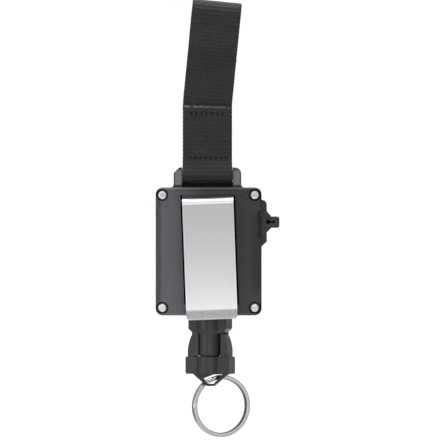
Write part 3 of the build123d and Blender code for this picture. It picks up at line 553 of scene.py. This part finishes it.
def ring_at(i, n_total, s):
    p = line2d[i]
    a = line2d[max(0, i - 1)]
    b = line2d[min(n_total - 1, i + 1)]
    t = (b - a).normalized()
    nrm = Vector((t.y, -t.x))
    ring = []
    # the melted ends taper to a rounded edge
    d = min(s, strap_len - s)
    k = 1.0 if d > 0.6 else math.sqrt(max(0.0, 1 - (1 - d / 0.6) ** 2))
    k = max(k, 0.12)
    for face in (1, -1):
        for j in range(NU):
            f = j / (NU - 1)
            side = 1 if face == 1 else -1
            u01 = (f if face == 1 else 1 - f) * 2 - 1
            # spacing closes up at the selvedge, which is rounded
            uu = math.sin(u01 * math.pi / 2 * 0.985) / math.sin(math.pi / 2 * 0.985)
            uu = 0.35 * uu + 0.65 * u01
            w = edge_w(s, 1.0 if uu > 0 else 2.3)
            x = uu * w
            e = w - abs(x)
            low, dark = weave(s + (0.0 if face == 1 else PITCH / 2), x)
            if abs(p.x) < 1.5 and 46.0 < p.y < 72.0:
                hole = pit(x + STRAP_X * 0, p.y)
                low += 0.32 * hole
                # painted shade: the needle holes are darkened like the weave's crevices
                dark = max(dark, hole)
            th = HALF_T - low
            if e < 0.75:
                th *= math.sqrt(max(0.0, 1 - (1 - e / 0.75) ** 2)) * 0.9 + 0.1
            q = p + nrm * (face * th * k)
            ring.append(on_strap(x, q.x, q.y))
            crevice_shade_and_tone.append(dark)
    return ring


verts, faces = [], []
n_rings = len(line2d)
per = 2 * NU
for i in range(n_rings):
    s = strap_len * i / (n_rings - 1)
    verts += ring_at(i, n_rings, s)
for i in range(n_rings - 1):
    for j in range(per):
        a, b = i * per + j, i * per + (j + 1) % per
        faces.append((a, b, b + per, a + per))
# end caps as strips between the two faces
for base in (0, (n_rings - 1) * per):
    for j in range(NU - 1):
        faces.append((base + j, base + j + 1, base + per - 2 - j, base + per - 1 - j))
strap = make("webbing_strap", verts, faces, MAT["webbing"], "strap")
layer = strap.data.attributes.new("crevice_shade_and_tone", "FLOAT", "POINT")
layer.data.foreach_set("value", crevice_shade_and_tone)
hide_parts("strap_webbing")


# ---------------------------------------------------------------------------------------- melted edge of the flap
def melt_highlight_material():
    m, nt, b = new_mat("melted_nylon_highlight")
    v = coords(nt)
    f = noise_tex(nt, v, 520.0, 4.0, 0.6)
    # painted highlight: the melted bead is coloured far lighter than the black webbing, for the light its edge catches
    nt.links.new(ramp(nt, f, [(0.35, (0.04, 0.04, 0.04)), (0.55, (0.12, 0.12, 0.12)), (0.72, (0.34, 0.34, 0.34))]), b.inputs["Base Color"])
    nt.links.new(maprange(nt, f, 0.3, 0.7, 0.5, 0.28), b.inputs["Roughness"])
    nt.links.new(bump(nt, f, 0.6, 0.0001), b.inputs["Normal"])
    return m


MELT_HIGHLIGHT = melt_highlight_material()


def bead(name, y, h0, w, droop, seed, up=1):
    rows, ring_n = 110, 14
    vs, fs = [], []
    for i in range(rows + 1):
        f = i / rows * 2 - 1
        x = f * w
        end = math.sqrt(max(0.0, 1 - abs(f) ** 40))
        k = noise.noise(Vector((x * 0.55, seed, 0.0)))
        k2 = noise.noise(Vector((x * 1.7, seed, 5.0)))
        r = (0.66 + 0.22 * k + 0.12 * k2) * max(0.15, end)
        h = h0 + 0.22 * k - droop * max(0.0, (f - 0.72) / 0.28) ** 2
        for j in range(ring_n):
            a = 2 * math.pi * j / ring_n
            vs.append(on_strap(x, y + math.cos(a) * min(r, 0.7) * 1.05, h + math.sin(a) * r * 0.95 * up))
    for i in range(rows):
        for j in range(ring_n):
            a, b = i * ring_n + j, i * ring_n + (j + 1) % ring_n
            fs.append((a, b, b + ring_n, a + ring_n))
    fs.append(tuple(range(ring_n)))
    fs.append(tuple(reversed(range(rows * ring_n, (rows + 1) * ring_n))))
    return make(name, vs, fs, MELT_HIGHLIGHT, "strap")


bead("flap_melted_edge", -P1, 73.55, STRAP_W / 2 - 0.25, 0.7, 3.0)
bead("tail_melted_edge", P2, KINK_Z + 3.05, STRAP_W / 2 - 0.25, 0.0, 9.0)


# ---------------------------------------------------------------------------------------- stitching
def stitch_run(name, pts, front, back, body="strap"):
    """Lock stitches through the two layers: a short thread arch on the face between needle holes."""
    vs, fs = [], []
    R, SEG, RN = 0.27, 9, 8
    for (x0, h0), (x1, h1) in pts:
        for y_face, sgn in ((front, -1), (back, 1)):
            base = len(vs)
            d = Vector((x1 - x0, h1 - h0)).normalized()
            side = Vector((-d.y, d.x))
            for i in range(SEG + 1):
                t = i / SEG
                x, h = x0 + (x1 - x0) * t, h0 + (h1 - h0) * t
                lift = math.sin(math.pi * t) ** 0.6
                y = y_face + sgn * (-0.42 + 0.50 * lift)
                r = R * (0.55 + 0.45 * lift)
                for j in range(RN):
                    a = 2 * math.pi * j / RN
                    vs.append(on_strap(x + side.x * math.cos(a) * r, y + math.sin(a) * r * 0.8, h + side.y * math.cos(a) * r))
            for i in range(SEG):
                for j in range(RN):
                    a, b = base + i * RN + j, base + i * RN + (j + 1) % RN
                    fs.append((a, b, b + RN, a + RN))
            fs.append(tuple(range(base, base + RN)))
            fs.append(tuple(range(base + SEG * RN, base + SEG * RN + RN)))
    return make(name, vs, fs, MAT["thread"], body)


def row(x0, h0, x1, h1, n, gap=0.28):
    out = []
    for i in range(n):
        a, b = i / n, (i + 1) / n
        a += gap / n / 2
        b -= gap / n / 2
        out.append(((x0 + (x1 - x0) * a, h0 + (h1 - h0) * a), (x0 + (x1 - x0) * b, h0 + (h1 - h0) * b)))
    return out


runs = row(-8.2, 70.4, 7.76, 70.2, 6) + row(-8.6, 47.9, 9.6, 47.6, 7) + row(-8.9, 69.6, 8.6, 48.6, 10) + row(8.3, 69.6, -9.2, 48.6, 10)
st = stitch_run("strap_stitches", runs, -P1 - HALF_T + 0.12, P1 + HALF_T - 0.12)
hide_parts("strap_stitching")


# ---------------------------------------------------------------------------------------- hook and loop patches
def pile_patch(name, node, y_lo, y_hi, w, h0, h1, seed, bumpy, sgn):
    """A sewn-on tape: a thin slab with rounded corners whose pile side is rough."""
    nu, nh = 46, 42
    vs, fs = [], []
    r = 1.6

    def pt(i, j):
        u = (i / nu * 2 - 1)
        v = (j / nh * 2 - 1)
        x, h = u * w / 2, (h0 + h1) / 2 + v * (h1 - h0) / 2
        ex, eh = w / 2 - abs(x), (h1 - h0) / 2 - abs(h - (h0 + h1) / 2)
        if ex < r and eh < r:
            dx, dh = r - ex, r - eh
            m = max(dx, dh)
            L = math.hypot(dx, dh)
            if L > 0:
                k = m / L
                x = math.copysign(w / 2 - r + dx * k, x)
                h = (h0 + h1) / 2 + math.copysign((h1 - h0) / 2 - r + dh * k, h - (h0 + h1) / 2)
        return x, h

    for face in (0, 1):
        for i in range(nu + 1):
            for j in range(nh + 1):
                x, h = pt(i, j)
                edge = i in (0, nu) or j in (0, nh)
                y = y_lo if face == 0 else y_hi
                rough = (face == 1) == (sgn > 0)
                if rough and not edge:
                    y -= (1 if face == 1 else -1) * bumpy * (0.5 + 0.5 * noise.noise(Vector((x * 2.3, h * 2.3, seed))))
                vs.append(on_strap(x, y, h + KINK_Z))
    M = (nu + 1) * (nh + 1)
    idx = lambda f, i, j: f * M + i * (nh + 1) + j
    for i in range(nu):
        for j in range(nh):
            fs.append((idx(0, i, j), idx(0, i + 1, j), idx(0, i + 1, j + 1), idx(0, i, j + 1)))
            fs.append((idx(1, i, j), idx(1, i, j + 1), idx(1, i + 1, j + 1), idx(1, i + 1, j)))
    for i in range(nu):
        fs.append((idx(0, i, 0), idx(1, i, 0), idx(1, i + 1, 0), idx(0, i + 1, 0)))
        fs.append((idx(0, i, nh), idx(0, i + 1, nh), idx(1, i + 1, nh), idx(1, i, nh)))
    for j in range(nh):
        fs.append((idx(0, 0, j), idx(0, 0, j + 1), idx(1, 0, j + 1), idx(1, 0, j)))
        fs.append((idx(0, nu, j), idx(1, nu, j), idx(1, nu, j + 1), idx(0, nu, j + 1)))
    ob = make(name, vs, fs, MAT["hook_loop"], "strap")
    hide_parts(node)
    return ob


Y_A, Y_B = P1 + HALF_T, P2 - HALF_T
pile_patch("loop_tape", "loop_patch", Y_A - 0.02, Y_A + 1.2, 23.0, 4.0, 24.0, 2.0, 0.35, 1)
pile_patch("hook_tape", "hook_patch", Y_A + 1.2, Y_B + 0.02, 22.0, 4.5, 23.5, 8.0, 0.30, -1)


# ---------------------------------------------------------------------------------------- split ring
RX = Vector((RNRM.y, -RNRM.x, 0)).normalized()
RZ = Vector((0, 0, 1))


def split_ring():
    R0, R1 = 13.7, 15.9
    rm, half_r = (R0 + R1) / 2, (R1 - R0) / 2
    half_t, off = 0.60, 0.66
    cross = math.radians(26)
    start = math.radians(118)
    # cross-section: a rounded rectangle
    prof = []
    rc = 0.34
    for cx, cy, a0 in ((half_r - rc, half_t - rc, 0), (-half_r + rc, half_t - rc, 90), (-half_r + rc, -half_t + rc, 180), (half_r - rc, -half_t + rc, 270)):
        for k in range(5):
            a = math.radians(a0 + 90 * k / 4)
            prof.append((cx + rc * math.cos(a), cy + rc * math.sin(a)))
    n = 420
    vs, fs = [], []
    phis = [cross / 2 + (4 * math.pi - cross) * i / n for i in range(n + 1)]
    # short rounded ends
    ends = 4
    for i, ph in enumerate(phis):
        t = (ph - (2 * math.pi - cross / 2)) / cross
        t = max(0.0, min(1.0, t))
        s = t * t * (3 - 2 * t)
        o = -off + 2 * off * s
        k = 1.0
        d = min(i, n - i)
        if d < ends:
            k = math.sqrt(1 - (1 - (d + 0.35) / (ends + 0.35)) ** 2)
        a = start + ph
        radial = RX * math.cos(a) + RZ * math.sin(a)
        c = RC + radial * (rm * MM) + RNRM * (o * MM)
        for px, py in prof:
            vs.append(c + radial * (px * k * MM) + RNRM * (py * k * MM))
    m = len(prof)
    for i in range(n):
        for j in range(m):
            a, b = i * m + j, i * m + (j + 1) % m
            fs.append((a, b, b + m, a + m))
    fs.append(tuple(range(m)))
    fs.append(tuple(reversed(range(n * m, (n + 1) * m))))
    ob = make("ring_coil", vs, fs, MAT["ring_nickel"], "ring")
    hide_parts("split_ring")
    return ob


split_ring()


# ---------------------------------------------------------------------------------------- line
lead_lo, lead_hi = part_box("line_lead")
fer_lo, fer_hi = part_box("line_ferrule")


def line_mesh():
    """The braided line: off the drum, round the outlet and down to its ferrule, on one smooth curve."""
    x0, z0 = -14.2726, -8.2
    cu = bpy.data.curves.new("line_route", "CURVE")
    cu.dimensions = "3D"
    sp = cu.splines.new("NURBS")
    yc = (lead_lo.y + lead_hi.y) / 2
    route = [(-14.27, -8.2), (-0.2, -26.2), (0.8, -28.6), (0.8, -33.7)]
    sp.points.add(len(route) - 1)
    for p, (x, z) in zip(sp.points, route):
        p.co = (x * MM, yc, z * MM + Z_CASE, 1)
    sp.order_u = 3
    sp.use_endpoint_u = True
    cu.resolution_u = 60
    tmp = bpy.data.objects.new("line_route", cu)
    scene.collection.objects.link(tmp)
    bpy.context.view_layer.update()
    me = bpy.data.meshes.new_from_object(tmp.evaluated_get(bpy.context.evaluated_depsgraph_get()))
    pts = [v.co.copy() for v in me.vertices]
    bpy.data.objects.remove(tmp)
    bpy.data.meshes.remove(me)
    R, RN = 0.58 * MM, 20
    vs, fs = [], []
    L = 0.0
    for i, p in enumerate(pts):
        if i:
            L += (p - pts[i - 1]).length
        t = (pts[min(i + 1, len(pts) - 1)] - pts[max(i - 1, 0)]).normalized()
        sd = t.cross(Vector((0, 1, 0))).normalized()
        up = sd.cross(t)
        for j in range(RN):
            a = 2 * math.pi * j / RN
            k = 1 - 0.05 * (0.5 + 0.5 * math.cos(8 * a + L / MM * 3.0)) - 0.05 * (0.5 + 0.5 * math.cos(8 * a - L / MM * 3.0))
            vs.append(p + (sd * math.cos(a) + up * math.sin(a)) * R * k)
    for i in range(len(pts) - 1):
        for j in range(RN):
            a, b = i * RN + j, i * RN + (j + 1) % RN
            fs.append((a, b, b + RN, a + RN))
    fs.append(tuple(range(RN)))
    fs.append(tuple(reversed(range((len(pts) - 1) * RN, len(pts) * RN))))
    ob = make("line_run", vs, fs, MAT["line_cord"], None)
    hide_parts("line_lead")
    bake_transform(ob)
    return ob


line_mesh()


# ---------------------------------------------------------------------------------------- stage, light, camera
def stage_material(name, col):
    m, nt, b = new_mat(name)
    f = noise_tex(nt, coords(nt), 6.0, 2.0)
    nt.links.new(ramp(nt, f, [(0.3, tuple(c * 0.995 for c in col)), (0.7, col)]), b.inputs["Base Color"])
    b.inputs["Roughness"].default_value = 0.9
    b.inputs["Specular IOR Level"].default_value = 0.1
    return m


lo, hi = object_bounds()
# The floor is below the ring when the line is pulled right out.
FLOOR = lo.z - 1.125
prof = [(-2.6, 0.0)]
for i in range(25):
    a = math.radians(90 * i / 24)
    prof.append((2.05 + 0.45 * math.sin(a), 0.45 - 0.45 * math.cos(a)))
prof.append((2.5, 2.6))
vs, fs = [], []
for y, z in prof:
    for x in (-2.6, 2.6):
        vs.append((x, y, FLOOR + z))
for i in range(len(prof) - 1):
    fs.append((2 * i, 2 * i + 1, 2 * i + 3, 2 * i + 2))
floor = make("studio_floor", vs, fs, stage_material("studio_white", (0.93, 0.93, 0.93)), None)

world = bpy.data.worlds.new("studio")
scene.world = world
world.use_nodes = True
wt = world.node_tree
bg = wt.nodes["Background"]
wtc = wt.nodes.new("ShaderNodeTexCoord")
sepx = wt.nodes.new("ShaderNodeSeparateXYZ")
wt.links.new(wtc.outputs["Generated"], sepx.inputs[0])
wt.links.new(ramp(wt, maprange(wt, sepx.outputs["X"], -1.0, 1.0, 0.0, 1.0),
                  [(0.0, (0.98, 0.99, 1.0)), (0.5, (0.80, 0.805, 0.81)), (1.0, (0.46, 0.46, 0.46))]), bg.inputs[0])
bg.inputs[1].default_value = 0.45


def area(name, loc, target, size, power, size_y=None, colour=(1, 1, 1)):
    L = bpy.data.lights.new(name, "AREA")
    L.shape = "RECTANGLE"
    L.size = size
    L.size_y = size_y or size
    L.energy = power
    L.color = colour
    ob = bpy.data.objects.new(name, L)
    scene.collection.objects.link(ob)
    ob.location = loc
    ob.rotation_euler = (Vector(target) - Vector(loc)).to_track_quat("-Z", "Y").to_euler()
    return ob


CZ = (lo.z + hi.z) / 2
area("key", (-0.85, -0.7, 0.5), (0, 0, CZ), 0.7, 1.3)
area("near_left", (-0.165, -0.085, Z_CASE + 0.0), (0, 0, Z_CASE), 0.07, 0.05, 0.14, (0.93, 0.96, 1.0))
area("low_left", (-0.14, -0.11, Z_CASE - 0.075), (0, 0, Z_CASE - 0.075), 0.03, 0.012, 0.09)
area("fill", (0.9, -0.8, -0.2), (0, 0, CZ), 0.5, 0.22)
area("low_front", (0.0, -0.30, Z_CASE - 0.0875), (0, 0, Z_CASE - 0.02), 0.20, 0.105, 0.016)
area("high_front", (0.0, -1.04, Z_CASE + 0.64), (0, 0, Z_CASE + 0.03), 0.5, 1.3)
area("top", (0.0, 0.1, 0.9), (0, 0, CZ), 0.8, 1.8)
area("backdrop", (0.0, 0.35, 0.9), (0, 0.9, CZ), 1.4, 14.0)
for side in (-1, 1):
    area("wall_light_%s" % ("left" if side < 0 else "right"), (1.5 * side, 1.5, -0.45), (0.75 * side, 2.5, -0.45), 0.5, 18.0, 2.2)
area("below", (0.0, -0.5, FLOOR + 0.01), (0, -0.499, CZ), 2.0, 8.5)

cam_data = bpy.data.cameras.new("camera")
cam = bpy.data.objects.new("camera", cam_data)
scene.collection.objects.link(cam)
DIST, VIEW_H = 1.6, 0.2244
cam.location = (0.0058, -DIST - 0.004, Z_CASE + 0.016)
cam.rotation_euler = (math.radians(90), 0, 0)
cam_data.sensor_width = 36.0
cam_data.lens = 36.0 * DIST / VIEW_H
cam_data.dof.use_dof = False
cam_data.clip_start, cam_data.clip_end = 0.05, 20
scene.camera = cam

scene.view_settings.view_transform = "Standard"
scene.view_settings.look = "None"
